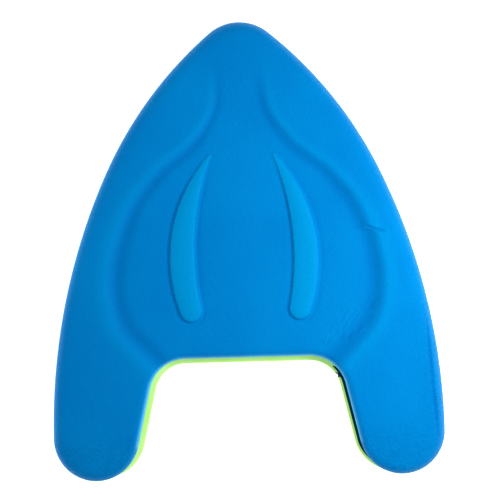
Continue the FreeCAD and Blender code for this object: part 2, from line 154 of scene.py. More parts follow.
class EdgeChain:
    def __init__(self, rail_inset=0.0, notch_inset=0.0):
        half_length, half_width = deck_high.y, deck_high.x - rail_inset
        self.nose_tip = half_length - rail_inset
        self.nose_radius = NOSE_RADIUS - rail_inset
        self.nose = np.array([0.0, self.nose_tip - self.nose_radius])
        self.nose_turn = math.acos(NOSE_HALF_WIDTH / NOSE_RADIUS)
        nose_end = self.nose + unit(self.nose_turn) * self.nose_radius
        self.leg_radius = LEG_RADIUS - (rail_inset + notch_inset) / 2
        self.leg = np.array([half_width - self.leg_radius, LEG_RADIUS - half_length])
        leg_start = self.leg + [self.leg_radius, 0]
        chord = leg_start - nose_end
        aside = np.array([chord[1], -chord[0]]) / (2 * math.tan(self.nose_turn / 2))
        pivot = (nose_end + leg_start) / 2 + aside
        reach = np.hypot(*(nose_end - pivot))
        self.joint_y = half_length - FLANK_JOINT
        joint_x = pivot[0] + math.sqrt(reach**2 - (self.joint_y - pivot[1]) ** 2)
        joint = np.array([joint_x, self.joint_y])
        self.front = self.centre_through(nose_end, unit(self.nose_turn), joint)
        self.rear = self.centre_through(leg_start, unit(0), joint)
        self.front_radius = np.hypot(*(self.front - joint))
        self.rear_radius = np.hypot(*(self.rear - joint))
        self.joint = joint

        self.into_notch = unit(math.pi + NOTCH_LEAN)
        forward = unit(math.pi / 2 + NOTCH_LEAN)
        self.throat = NOTCH_DEPTH - half_length + notch_inset
        self.corner_radius = CORNER_RADIUS + notch_inset
        self.wall_foot = self.leg + self.into_notch * self.leg_radius
        start = self.wall_foot + self.into_notch * self.corner_radius
        along = (self.throat - self.corner_radius - start[1]) / math.cos(NOTCH_LEAN)
        self.corner = start + forward * along
        self.wall_head = self.corner - self.into_notch * self.corner_radius
        self.throat_end = self.corner + [0, self.corner_radius]

    @staticmethod
    def centre_through(start, outwards, through):
        chord = through - start
        return start + outwards * ((chord @ chord) / (2 * (chord @ outwards)))

    def bends(self):
        """Centre, radius and the two angles of each arc of the right half, nose first."""
        def angle(centre, point):
            return math.atan2(point[1] - centre[1], point[0] - centre[0])
        return [
            (self.nose, self.nose_radius, math.pi / 2, self.nose_turn),
            (self.front, self.front_radius, self.nose_turn, angle(self.front, self.joint)),
            (self.rear, self.rear_radius, angle(self.rear, self.joint), 0.0),
            (self.leg, self.leg_radius, 0.0, NOTCH_LEAN - math.pi),
            (self.corner, self.corner_radius, NOTCH_LEAN, math.pi / 2),
        ]

    def ring(self, step):
        """The whole edge as a closed list of points about one step apart."""
        right = []
        for number, (centre, radius, first, last) in enumerate(self.bends()):
            if number == CORNER_BEND:
                gap = np.hypot(*(self.wall_head - self.wall_foot))
                for share in np.linspace(0, 1, round(gap / step), endpoint=False)[1:]:
                    right.append(self.wall_foot + (self.wall_head - self.wall_foot) * share)
            count = max(3, round(abs(last - first) * radius / step))
            for turn in np.linspace(first, last, count, endpoint=number >= LEG_BEND):
                right.append(centre + unit(turn) * radius)
        count = round(2 * self.throat_end[0] / step)
        throat = [np.array([x, self.throat]) for x in
                  np.linspace(self.throat_end[0], -self.throat_end[0], count)[1:-1]]
        left = [point * [-1, 1] for point in right[:0:-1]]
        return right + throat + left


print("the nose and the leg ends are arcs of", NOSE_RADIUS, "and", LEG_RADIUS)

# %% [markdown]
# To round a rim, or to lay a slope along the edge, one has to know how deep a place lies inside
# the edge and which way is out. The outline adds that to the chain. The deck and the base skin
# both use it, so their edges keep the same course.

# %% How deep a place lies inside the outline
class Outline(EdgeChain):
    def distances(self, x, y, rails_only):
        """For each stretch of edge: which places face it, how deep they lie, and the way out."""
        for number, (centre, radius, first, last) in enumerate(self.bends()):
            if rails_only and number == CORNER_BEND:
                continue
            dx, dy = x - centre[0], y - centre[1]
            away = np.maximum(np.hypot(dx, dy), 1e-9)
            turn = np.arctan2(dy, dx)
            low, high = min(first, last) - TINY, max(first, last) + TINY
            if number == NOSE_BEND:
                high = math.pi
            facing = (turn >= low) & (turn <= high)
            sign = -1.0 if number == CORNER_BEND else 1.0
            yield facing, sign * (radius - away), sign * dx / away, sign * dy / away
        if rails_only:
            return
        wall = self.wall_head - self.wall_foot
        dx, dy = x - self.wall_foot[0], y - self.wall_foot[1]
        share = (dx * wall[0] + dy * wall[1]) / (wall @ wall)
        found = -(dx * self.into_notch[0] + dy * self.into_notch[1])
        yield (share >= 0) & (share <= 1), found, self.into_notch[0], self.into_notch[1]
        yield x <= self.throat_end[0], y - self.throat, 0.0, -1.0

    def depth(self, x, y, rails_only=False):
        """How deep each place lies inside the nearest edge, and the way out as two arrays."""
        side, x = np.where(x < 0, -1.0, 1.0), np.abs(x)
        best = np.full(x.shape, 1.0)
        out_x, out_y = np.zeros(x.shape), np.ones(x.shape)
        for facing, found, way_x, way_y in self.distances(x, y, rails_only):
            better = facing & (np.abs(found) < np.abs(best))
            best = np.where(better, found, best)
            out_x = np.where(better, way_x, out_x)
            out_y = np.where(better, way_y, out_y)
        return best, out_x * side, out_y

    def half_width_at(self, y):
        centre, radius = self.rear, self.rear_radius
        if y > self.joint_y:
            centre, radius = self.front, self.front_radius
        return centre[0] + math.sqrt(radius**2 - (y - centre[1]) ** 2)


edge = Outline()
print("outline points", len(edge.ring(0.002)), "front flank radius", round(edge.front_radius, 4))

# %% [markdown]
# The middle of the deck is a sunk panel, whose shoulders run from the nose round to the corners
# of the notch. The panel's edge goes through a few set places, and a smooth curve joins them.
# `eased` is the soft step that makes each slope start and end level, as moulded foam does, and
# `falling` drops from 1 to 0 over a reach.

# %% The panel's edge
def eased(share):
    share = np.clip(share, 0, 1)
    return share * share * (3 - 2 * share)


def falling(distance, reach, power):
    return np.clip(1 - np.maximum(distance, 0) / reach, 0, None) ** power


# y with the panel's half width, and further back y with the width of the rail outside the panel
NOSE_PLACES = [(0.215, 0.0245), (0.139, 0.0245), (0.103, 0.0455)]
FLANK_BANDS = [(0.0735, 0.0486), (0.037, 0.036), (-0.0202, 0.037), (-0.0672, 0.054)]


def panel_places():
    places = NOSE_PLACES + [(y, edge.half_width_at(y) - band) for y, band in FLANK_BANDS]
    places.append((edge.throat, edge.wall_head[0]))
    places.append((edge.corner[1], edge.throat_end[0]))
    return np.array(places)[::-1]


PANEL = panel_places()
PANEL_SLOPES = np.gradient(PANEL[:, 1]) / np.gradient(PANEL[:, 0])


def panel_edge(y):
    """Half width of the panel at y and its slope, by a cubic through the set places."""
    y = np.clip(y, PANEL[0, 0], PANEL[-1, 0])
    index = np.clip(np.searchsorted(PANEL[:, 0], y) - 1, 0, len(PANEL) - 2)
    span = PANEL[index + 1, 0] - PANEL[index, 0]
    u = (y - PANEL[index, 0]) / span
    start, end = PANEL[index, 1], PANEL[index + 1, 1]
    first, last = PANEL_SLOPES[index] * span, PANEL_SLOPES[index + 1] * span
    width = (1 + 2 * u) * (1 - u) ** 2 * start + u * (1 - u) ** 2 * first
    width += u * u * (3 - 2 * u) * end + u * u * (u - 1) * last
    slope = 6 * u * (u - 1) * (start - end) + (1 - 4 * u + 3 * u * u) * first
    slope += (3 * u * u - 2 * u) * last
    return width, slope / span


print("panel half width at the middle", round(float(panel_edge(0.0)[0]), 4))

# %% [markdown]
# The shoulder of the panel is widest at the notch and narrower towards the nose. On each side of
# the fold across the right shoulder it has slipped 2 mm, in opposite ways. One function says how
# far across the shoulder a place lies, so the shape and the colour agree.

# %% The panel's shoulder
FOLD_Y, SLIP, SLIP_REACH = 0.016, 0.0020, 0.022
SHOULDER_NARROW, SHOULDER_GROWTH = 0.0075, 0.0065
WIDENING_START, WIDENING_REACH = 0.076, 0.180


def shoulder_step(x, y):
    """Where a place lies across the panel's shoulder: -0.5 at the lip and 0.5 at the foot."""
    fading = np.exp(-np.abs(y - FOLD_Y) / SLIP_REACH) * np.where(y > FOLD_Y, -1, 1)
    slip = SLIP * np.where(x > 0, fading, 0)
    width, slope = panel_edge(y)
    widened = eased((edge.nose_tip - WIDENING_START - y) / WIDENING_REACH)
    slope_width = SHOULDER_NARROW + SHOULDER_GROWTH * widened
    return (width + slip - np.abs(x)) / np.hypot(1, slope) / slope_width


print("shoulder step on the middle line", np.round(shoulder_step(np.zeros(1), np.zeros(1)), 2))

# %% [markdown]
# Two crescent ridges stand on the panel. Each is bounded by two long arcs, with a narrow round
# tip towards the nose and a wide round end towards the notch. Their depth function works like the
# outline's, so that a soft slope can be laid along the whole edge, which a bevel round a separate
# piece could not join to the deck as softly.

# %% The ridges
RIDGE_TIP, RIDGE_TIP_RADIUS = np.array([0.0304, 0.0884]), 0.0013
RIDGE_END, RIDGE_END_RADIUS = np.array([0.0514, edge.throat + 0.0451]), 0.0104
RIDGE_OUTER, RIDGE_INNER = 0.1455, 0.2540
TIP_RISE, RISE_GROWTH, GROWTH_REACH = 0.0010, 0.0014, 0.045


def circle_meeting(first, first_radius, second, second_radius):
    span = second - first
    length = np.hypot(*span)
    along = (first_radius**2 - second_radius**2 + length**2) / (2 * length)
    across = math.sqrt(first_radius**2 - along**2)
    way = span / length
    side = np.array([-way[1], way[0]])
    meetings = (first + way * along + side * (sign * across) for sign in (1, -1))
    return min(meetings, key=lambda place: place[0])


OUTER_CENTRE = circle_meeting(RIDGE_TIP, RIDGE_OUTER - RIDGE_TIP_RADIUS,
                              RIDGE_END, RIDGE_OUTER - RIDGE_END_RADIUS)
INNER_CENTRE = circle_meeting(RIDGE_TIP, RIDGE_INNER + RIDGE_TIP_RADIUS,
                              RIDGE_END, RIDGE_INNER + RIDGE_END_RADIUS)


def ridge_depth(x, y):
    """How deep each place lies inside a ridge's edge. It is negative outside."""
    x = np.abs(x)
    body = np.minimum(RIDGE_OUTER - np.hypot(x - OUTER_CENTRE[0], y - OUTER_CENTRE[1]),
                      np.hypot(x - INNER_CENTRE[0], y - INNER_CENTRE[1]) - RIDGE_INNER)
    tip, end = (RIDGE_TIP, RIDGE_TIP_RADIUS, 1), (RIDGE_END, RIDGE_END_RADIUS, -1)
    for centre, radius, sign in (tip, end):
        outwards = centre - OUTER_CENTRE
        beyond = sign * ((y - centre[1]) * outwards[0] - (x - centre[0]) * outwards[1]) > 0
        body = np.where(beyond, radius - np.hypot(x - centre[0], y - centre[1]), body)
    return body


def ridge_height(x, y):
    """A side slope, a crown above it and a shallow moat round it, all lower near the tip."""
    within = ridge_depth(x, y)
    rise = TIP_RISE + RISE_GROWTH * eased((RIDGE_TIP[1] - y) / GROWTH_REACH)
    crown = 0.70 * (1 - (1 - np.clip(within / 0.010, 0, 1)) ** 2)
    moat = -0.10 * np.exp(-((within + 0.0028) / 0.0016) ** 2)
    return rise * (eased((within + 0.0016) / 0.0030) + crown + moat)


ridge_span = round(float(np.hypot(*(RIDGE_TIP - RIDGE_END))), 4)
print("from the centre of a ridge's tip to that of its end", ridge_span)

# %% [markdown]
# Foam keeps the marks of its life. A fold has cracked across the right shoulder, with a puff of
# foam on each side of it, and a crease runs along the right rail. Fine wrinkles, some sunk and
# some raised, fan out from the right corner of the notch. All of these are laid along straight
# lines, so one function makes them, and a groove of negative depth stands up. Two small round
# dents are on the left. The wrinkles come from a random generator with a fixed seed, so they are
# the same every time.

# %% Marks in the foam
def groove(x, y, start, end, width, depth):
    way = np.subtract(end, start)
    length = np.hypot(*way)
    way = way / length
    along = (x - start[0]) * way[0] + (y - start[1]) * way[1]
    across = (x - start[0]) * -way[1] + (y - start[1]) * way[0]
    fade = eased(along / (0.3 * length)) * eased((length - along) / (0.3 * length))
    return -depth * fade * np.exp(-((across / width) ** 2))


FOLD_START, FOLD_END = (0.1125, 0.0195), (0.1350, 0.0130)
RAIL_CREASE = ((0.1680, -0.050), (0.1786, -0.196))
LINES = [  # start, end, width and depth
    (FOLD_START, FOLD_END, 0.0011, 0.0018),
    ((0.1105, 0.0225), (0.1290, 0.0170), 0.0024, -0.0011),
    ((0.1180, 0.0140), (0.1390, 0.0085), 0.0026, -0.0004),
    (*RAIL_CREASE, 0.0011, 0.0006),
]
DENTS = (  # x, y, radius and depth
    (-0.1224, -0.0538, 0.0018, 0.0006),
    (-0.1223, -0.0947, 0.0022, 0.0003),
)
seeded = np.random.default_rng(5)
WRINKLES = []
for _ in range(80):
    share = seeded.uniform(0, 1)
    foot = np.array([0.070, -0.0955]) + share * np.array([0.034, 0.004])
    foot = foot + seeded.uniform(0, 1) ** 1.4 * np.array([0.012, 0.036])
    way = unit(math.radians(60 - 14 * share + seeded.normal(0, 6)))
    length = seeded.uniform(0.007, 0.020)
    depth = seeded.choice([-1, 1]) * seeded.uniform(1.2e-4, 3.4e-4)
    WRINKLES.append((foot, foot + way * length, seeded.uniform(0.0005, 0.0008), depth))


def marks(x, y):
    height = 0
    for start, end, width, depth in LINES + WRINKLES:
        height += groove(x, y, start, end, width, depth)
    for dent_x, dent_y, radius, depth in DENTS:
        height -= depth * np.exp(-((x - dent_x) ** 2 + (y - dent_y) ** 2) / radius**2)
    return height


print("marks:", len(LINES), "lines,", len(WRINKLES), "wrinkles and", len(DENTS), "dents")

# %% [markdown]
# Now the deck's height at any place can be said in one function. The deck bows gently down to the
# rails and the nose. The panel deepens over two lengths behind the nose, and its shoulder has a
# small raised lip and a small groove at its foot. The ridges and the marks are added last.
# Formulas suit this deck better than sculpting, because each slope can be measured and changed by
# one number.

# %% The deck's height
CROWN_FALL, CROWN_REACH = 0.0016, 0.052
RAIL_FALL, RAIL_REACH = 0.0058, 0.018
NOSE_FALL, NOSE_REACH = 0.0025, 0.070
TOP_MARGIN, PANEL_DEPTH = 0.0001, 0.005
SINKING = [(0.45, 0.045, 0.060), (0.55, 0.055, 0.180)]  # share, start behind the nose, and reach
LIP_HEIGHT, FOOT_DEPTH = 0.0003, 0.0005


def hump(place, centre, width):
    return np.exp(-((place - centre) / width) ** 2)


def rail_share(x, y):
    """1 along the rails, falling to 0 round each leg's end."""
    turn = np.arctan2(edge.leg[1] - y, np.abs(x) - edge.leg[0])
    return np.where(y > edge.leg[1], 1.0, 1 - eased(turn / (math.pi - NOTCH_LEAN)))


def deck_height(x, y):
    rail, _, _ = edge.depth(x, y, rails_only=True)
    fall = CROWN_FALL * falling(rail, CROWN_REACH, 2) + RAIL_FALL * falling(rail, RAIL_REACH, 3)
    height = deck_high.z - TOP_MARGIN - fall * rail_share(x, y)
    height -= NOSE_FALL * falling(edge.nose_tip - y, NOSE_REACH, 2)
    sunk = sum(share * eased((edge.nose_tip - start - y) / reach)
               for share, start, reach in SINKING)
    step = shoulder_step(x, y)
    height -= PANEL_DEPTH * sunk * eased(step + 0.5)
    height += sunk * (LIP_HEIGHT * hump(step, -0.75, 0.4) - FOOT_DEPTH * hump(step, 0.7, 0.35))
    return height + ridge_height(x, y) + marks(x, y)


print("deck height at the middle", np.round(deck_height(np.zeros(1), np.zeros(1)), 4))

# %% [markdown]
# A moulded foam skin is one soft, closed form, so it starts as a slab cut to the outline, with
# its rims bevelled round. The same two helpers make the base skin later. A voxel remesh turns the
# slab into even little squares, since the few large faces of a bevelled slab have no points to
# shape.

# %% A slab cut to an outline
def slab(name, ring, floor, top):
    mesh = bpy.data.meshes.new(name)
    mesh.from_pydata([(x, y, floor) for x, y in ring], [], [list(range(len(ring)))])
    piece = bpy.data.objects.new(name, mesh)
    bpy.context.scene.collection.objects.link(piece)
    only(piece)
    bpy.ops.object.mode_set(mode="EDIT")
    bpy.ops.mesh.select_all(action="SELECT")
    bpy.ops.mesh.extrude_region_move(TRANSFORM_OT_translate={"value": (0, 0, top - floor)})
    bpy.ops.mesh.select_all(action="SELECT")
    bpy.ops.mesh.normals_make_consistent(inside=False)
    bpy.ops.object.mode_set(mode="OBJECT")
    return piece


def round_rim(piece, level, radius, segments):
    heights = points_of(piece)[:, 2]
    ends = np.array([line.vertices[:] for line in piece.data.edges])
    select_parts(piece, "EDGE", (np.abs(heights[ends] - level) < TINY).all(axis=1))
    bpy.ops.mesh.bevel(offset=radius, segments=segments, affect="EDGES")
    bpy.ops.object.mode_set(mode="OBJECT")


SEAM = base_high.z
UPPER_ROLL, LOWER_ROLL = 0.007, 0.008
deck = slab("deck_foam", edge.ring(0.003), SEAM, deck_high.z)
round_rim(deck, deck_high.z, UPPER_ROLL, 4)
round_rim(deck, SEAM, LOWER_ROLL, 4)
apply_modifier(deck, "REMESH", mode="VOXEL", voxel_size=0.0018)
print("remeshed slab:", len(deck.data.polygons), "faces")

# %% [markdown]
# Each point is now moved on to the moulded surface, which bevels alone could not give. In
# cross-section it is a rounded box: the deck above, a 7 mm roll at the top edge, an upright wall,
# and an 8 mm roll that tucks in to the seam below. A few small moves in turn settle each point
# better than one large move, since the deck's height changes as the point moves sideways.

# %% Move the slab's points on to the moulded surface
SETTLING_MOVES, SIDE_SHARE = 7, 0.8


def moulded(points):
    x, y, z = points.T.copy()
    for _ in range(SETTLING_MOVES):
        depth, out_x, out_y = edge.depth(x, y)
        upper = z > SEAM + LOWER_ROLL + 0.001
        roll = np.where(upper, UPPER_ROLL, LOWER_ROLL)
        rim = np.where(upper, z - (deck_height(x, y) - UPPER_ROLL), SEAM + LOWER_ROLL - z)
        sideways, upright = np.maximum(roll - depth, 0), np.maximum(rim, 0)
        reach = np.maximum(np.hypot(sideways, upright), 1e-9)
        step = (reach - roll) * np.where(sideways > 0, SIDE_SHARE, 1.0)
        x -= step * out_x * sideways / reach
        y -= step * out_y * sideways / reach
        z -= step * np.where(upper, 1, -1) * upright / reach
    return np.stack([x, y, z], axis=1)


set_points(deck, moulded(points_of(deck)))
print("highest point", round(float(points_of(deck)[:, 2].max()), 4))

# %% [markdown]
# The ridges' edges and the marks are finer than the even squares, so the faces there are divided,
# by two cuts at the ridges and one at the marks, and the new points are moved on to the same
# surface. A finer remesh of the whole skin would give far more faces than the board needs.

# %% Finer faces where the detail is
DIVIDED_ABOVE = 0.022


def refine(piece, cuts, chosen):
    centres = np.array([face.center[:] for face in piece.data.polygons])
    flags = chosen(centres[:, 0], centres[:, 1]) & (centres[:, 2] > DIVIDED_ABOVE)
    select_parts(piece, "FACE", flags)
    bpy.ops.mesh.subdivide(number_cuts=cuts)
    bpy.ops.object.mode_set(mode="OBJECT")
    set_points(piece, moulded(points_of(piece)))
    print("divided", int(flags.sum()), "faces, now", len(piece.data.polygons))


def near_ridge_edge(x, y):
    return np.abs(ridge_depth(x, y) + 0.0005) < 0.0040


def between(values, low, high):
    return (values > low) & (values < high)


def near_marks(x, y):
    wrinkled = between(x, 0.066, 0.122) & between(y, -0.101, -0.046)
    folded = between(x, 0.106, 0.142) & between(y, 0.004, 0.028)
    dented = sum(np.hypot(x - dent[0], y - dent[1]) < 0.006 for dent in DENTS) > 0
    gripped = (x > 0.166) & (y < -0.070)
    return wrinkled | folded | dented | gripped


refine(deck, 2, near_ridge_edge)
refine(deck, 1, near_marks)

# %% [markdown]
# The skin is hollow: the core fills it. A copy of the core is the cutter, with its flat floor
# pulled down a little so that it cuts clean through the underside and leaves the skin's lower
# lip.

# %% Hollow the skin with a copy of the core
core = frame["nodes"]["foam_core"]
cutter = bpy.data.objects.new("core_cutter", core.data.copy())
bpy.context.scene.collection.objects.link(cutter)
only(cutter)
bpy.ops.object.mode_set(mode="EDIT")
bpy.ops.mesh.select_all(action="SELECT")
bpy.ops.mesh.remove_doubles(threshold=TINY)
bpy.ops.object.mode_set(mode="OBJECT")
places = points_of(cutter)
places[places[:, 2] < SEAM + 1e-5, 2] -= 0.002
set_points(cutter, places)
apply_modifier(deck, "BOOLEAN", operation="DIFFERENCE", object=cutter, solver="MANIFOLD")
bpy.data.objects.remove(cutter)
only(deck)
bpy.ops.object.shade_smooth_by_angle(angle=math.radians(50))
print("hollow skin:", len(deck.data.polygons), "faces,", len(deck.data.vertices), "points")

# %% [markdown]
# The ridges are pressed harder than the rest of the deck, which leaves them smoother, and their
# colour is painted lighter as a sheen. A highlight is painted over the lip of each shoulder and
# over raised wrinkles, and shade is painted at the shoulder's foot, in sunk wrinkles, in the
# fold's crack and in the rail's crease. Numbers stored on each point tell the material where each
# of these is.

# %% Mark the pressed ridges and the places of painted highlight and shade for the material
def store(piece, name, values):
    layer = piece.data.attributes.new(name, "FLOAT", "POINT")
    layer.data.foreach_set("value", np.asarray(values, float))


FULL_MARK = 7.0e-4  # the depth or height of a wrinkle that counts as 1
places = points_of(deck)
x, y, z = places.T
on_top = z > 0.02
# The ridges' mask: smoother skin there, and a lighter colour painted on as a sheen.
store(deck, "pressed_and_sheen", eased((ridge_depth(x, y) + 0.0002) / 0.0012))
step = shoulder_step(x, y)
sunk = eased((edge.nose_tip - 0.035 - y) / 0.045) * on_top
lines = sum(groove(x, y, start, end, width, depth / FULL_MARK)
            for start, end, width, depth in WRINKLES) * on_top
crease_shade = -groove(x, y, *RAIL_CREASE, 0.0018, 1.3) * on_top
crack_shade = -groove(x, y, FOLD_START, FOLD_END, 0.0010, 0.9) * on_top
# Painted highlight on the shoulder's lip and raised wrinkles, and painted shade at its foot, in
# sunk wrinkles, in the crease and in the fold's crack.
store(deck, "shoulder_and_wrinkle_highlight", sunk * hump(step, -0.55, 0.50) + np.clip(lines, 0, 1.6))
store(deck, "foot", sunk * hump(step, 0.55, 0.50) + np.clip(-lines, 0, 1.2) + crease_shade + crack_shade)
print("points inside the ridges' edges:", int((ridge_depth(x, y) > 0).sum()))

# %% [markdown]
# A highlight is painted on the rims, where the rolled edges reflect the pale floor and
# surroundings.
# It is strongest along the notch, a little stronger on the right wall than on the left, and
# weakest along the rails.

# %% Mark the rims' painted highlight
LEFT_WALL_HIGHLIGHT, RIGHT_WALL_HIGHLIGHT, RAIL_HIGHLIGHT = 1.0, 1.3, 0.22
depth, _, _ = edge.depth(x, y)
rail_depth, _, _ = edge.depth(x, y, rails_only=True)
in_notch = np.abs(depth) < np.abs(rail_depth) - TINY
notch_highlight = np.where(x > 0, RIGHT_WALL_HIGHLIGHT, LEFT_WALL_HIGHLIGHT)
rim = hump(depth, 0.0004, 0.0013) * (z > 0.018)
# The rims' painted highlight stands for the pale floor's reflection on the rolled edges.
store(deck, "rim", rim * np.where(in_notch, notch_highlight, RAIL_HIGHLIGHT))
print("marked", len(places), "points,", int(in_notch.sum()), "of them nearest the notch")

# %% [markdown]
# The base skin is a flat sheet of green foam with eased edges. It lies a little inside the rails
# and stands out a few millimetres past the deck's wall in the notch. It starts as a slab too.
# Insets of its top face add four rows of points round the edge, which the next step needs for a
# gap.

# %% The base skin
BASE_INSET, BASE_LIP = 0.008, 0.0053
LOWER_EASE, UPPER_EASE = 0.003, 0.0012
ROWS = (0.0012, 0.0003, 0.0029, 0.0004)
sheet_edge = Outline(BASE_INSET, -BASE_LIP)
base = slab("base_foam", sheet_edge.ring(0.0012), base_low.z, SEAM)
round_rim(base, base_low.z, LOWER_EASE, 4)
round_rim(base, SEAM, UPPER_EASE, 3)
for thickness in ROWS:
    areas = np.array([face.area for face in base.data.polygons])
    tops = np.array([face.normal.z for face in base.data.polygons]) > 0.9
    select_parts(base, "FACE", areas == (areas * tops).max())
    bpy.ops.mesh.inset(thickness=thickness, use_even_offset=True)
    bpy.ops.object.mode_set(mode="OBJECT")
print("base skin:", len(base.data.polygons), "faces")

# %% [markdown]
# Along the right wall of the notch the glue has let go, so a narrow dark gap has opened between
# the two skins, and the sheet is nicked and torn where the gap begins. The rows of points between
# the sheet's lip and the deck's wall are lowered to make the gap, and the points at the nick are
# pushed in.

# %% The opened seam and the nick
NICK_Y, NICK_WIDTH, NICK_DEPTH = -0.1215, 0.0011, 0.0016
GAP_DEPTH, GAP_ROWS = 0.0034, (0.00255, 0.0058)
places = points_of(base)
x, y, z = places.T
depth, _, _ = edge.depth(x, y)
inner, _, _ = sheet_edge.depth(x, y)
by_wall = (x > 0) & (y < NICK_Y + 0.008) & (depth < 0.004)
gap = by_wall & (z > SEAM - 1e-5) & between(inner, *GAP_ROWS)
z[gap] -= GAP_DEPTH
at_lip = (x > 0.06) & (depth < 0.002)
x += NICK_DEPTH * (hump(y, NICK_Y, NICK_WIDTH) * at_lip * (inner < 0.0035))
set_points(base, places)
only(base)
bpy.ops.object.shade_smooth_by_angle(angle=math.radians(40))
torn = (np.abs(y - NICK_Y) < 0.0024) & (x > 0.06) & (depth < 0.002) & (z > 0.002)
# The gap and the nick get painted shade in the sheet's material.
store(base, "gap", gap | torn)
print("opened seam:", int(gap.sum()), "points in the gap,", int(torn.sum()), "at the nick")

# %% [markdown]
# The frame's own skins are plain solids, so these two pieces stand for them, and the frame's
# skins are hidden. Both are foam, and both ride on the board's one body. Each one's fill is only
# printed.

# %% Put both pieces on the board's body and hide the frame's skins
for piece, node, fill in ((deck, "deck_skin", 0.95), (base, "base_skin", 1.0)):
    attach(piece, "root")
    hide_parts(node)
    print(piece.name, "stands for", node, "and is filled to", fill)

# %% [markdown]
# Materials are made of nodes. To keep their sums readable, a small class wraps an output so that
# `+`, `-` and `*` add the Math nodes. The reflected forms let a plain number stand first.

# %% A small language for material nodes
class Wire:
    def __init__(self, sheet, socket):
        self.sheet, self.socket = sheet, socket

    def beside(self, output):
        """Another output of the same node."""
        return Wire(self.sheet, self.socket.node.outputs[output])

    def combine(self, operation, first, second):
        return self.sheet.add("ShaderNodeMath", {"operation": operation}, {0: first, 1: second})

    def __add__(self, other):
        return self.combine("ADD", self, other)

    def __radd__(self, other):
        return self.combine("ADD", other, self)

    def __rsub__(self, other):
        return self.combine("SUBTRACT", other, self)

    def __mul__(self, other):
        return self.combine("MULTIPLY", self, other)

    def __rmul__(self, other):
        return self.combine("MULTIPLY", other, self)


# %% [markdown]
# A sheet holds one material and its nodes. One method adds any node: its settings first, then the
# values or links of its sockets. The few nodes that are used most have short methods of their
# own, and the last one adds the shader and the output.

# %% A sheet of nodes for each material
class Sheet:
    def __init__(self, name):
        self.material = bpy.data.materials.new(name)
        self.material.use_nodes = True
        self.tree = self.material.node_tree
        self.tree.nodes.clear()

    def add(self, kind, settings=None, sockets=None, output=0):
        node = self.tree.nodes.new(kind)
        for name, value in (settings or {}).items():
            setattr(node, name, value)
        for name, value in (sockets or {}).items():
            if isinstance(value, Wire):
                self.tree.links.new(value.socket, node.inputs[name])
            else:
                node.inputs[name].default_value = value
        return Wire(self, node.outputs[output]) if node.outputs else None

    def noise(self, place, scale, detail=2.0, roughness=0.5):
        sockets = {"Vector": place, "Scale": scale, "Detail": detail, "Roughness": roughness}
        return self.add("ShaderNodeTexNoise", {}, sockets)

    def ramp(self, value, low, high):
        """0 below low, 1 above high, and a soft step between."""
        sockets = {"Value": value, "From Min": low, "From Max": high}
        return self.add("ShaderNodeMapRange", {"interpolation_type": "SMOOTHSTEP"}, sockets)

    def mix(self, share, first, second):
        sockets = {0: share, 6: (*first, 1) if isinstance(first, tuple) else first,
                   7: (*second, 1) if isinstance(second, tuple) else second}
        return self.add("ShaderNodeMix", {"data_type": "RGBA"}, sockets, 2)

    def bump(self, height, distance, strength=1.0, normal=None):
        sockets = {"Height": height, "Distance": distance, "Strength": strength}
        if normal is not None:
            sockets["Normal"] = normal
        return self.add("ShaderNodeBump", {}, sockets)

    def finish(self, sockets):
        surface = self.add("ShaderNodeBsdfPrincipled", {}, sockets)
        self.add("ShaderNodeOutputMaterial", {}, {"Surface": surface})
        return self.material


# %% [markdown]
# The deck's foam has a heat-sealed satin skin. Its patterns come first: a faint cloudiness, a
# fine closed-cell grain, and leathery creases, which are kept to the leg ends and the right rail,
# where the board is gripped. The creases are the edges of bent cells, since straight ones would
# look like tiles.

# %% Patterns of the blue foam skin
blue = Sheet("blue_foam_skin")
place = blue.add("ShaderNodeTexCoord", {}, {}, "Object")
x_place = blue.add("ShaderNodeSeparateXYZ", {}, {"Vector": place})
y_place = x_place.beside(1)
pressed_and_sheen, shoulder_and_wrinkle_highlight, foot, rim = (blue.add("ShaderNodeAttribute", {"attribute_name": name}, {}, "Fac")
                           for name in ("pressed_and_sheen", "shoulder_and_wrinkle_highlight", "foot", "rim"))
cloud = blue.noise(place, 16, 3)
speck = blue.noise(place, 420, 2)
grain = blue.noise(place, 1500, 2, 0.6)
leg_ends = blue.ramp(y_place, -0.150, -0.195)
rail = blue.ramp(x_place + 0.10 * y_place, 0.130, 0.165) * blue.ramp(y_place, 0.00, -0.10)
creased = blue.add("ShaderNodeMath", {"operation": "MAXIMUM"}, {0: leg_ends, 1: rail})
wander = blue.add("ShaderNodeTexNoise", {}, {"Vector": place, "Scale": 90.0}, 1)
bent = blue.add("ShaderNodeVectorMath", {"operation": "MULTIPLY_ADD"},
                {0: wander, 1: (0.012, 0.012, 0.012), 2: place})
leather = blue.add("ShaderNodeTexVoronoi", {"feature": "DISTANCE_TO_EDGE"},
                   {"Vector": bent, "Scale": 330.0})
crease = blue.ramp(leather, 0.0, 0.16)
print("patterns:", len(blue.tree.nodes), "nodes")

# %% [markdown]
# Next come the colour, the relief and the gloss. Each colour is mixed over the one before:
# clouds, specks, painted highlight on the lips and raised wrinkles, painted shade at the feet and
# in the grooves, a painted sheen on the pressed ridges and a painted highlight on the rims. The
# gloss is weak and tinted blue, because the skin is satin and its colour is strong, and it is a
# little shinier on the ridges.

# %% Blue foam skin
tone = blue.mix(blue.ramp(cloud, 0.3, 0.7), (0.0, 0.212, 0.620), (0.0, 0.238, 0.655))
tone = blue.mix(blue.ramp(speck, 0.35, 0.75) * 0.25, tone, (0.0, 0.258, 0.660))
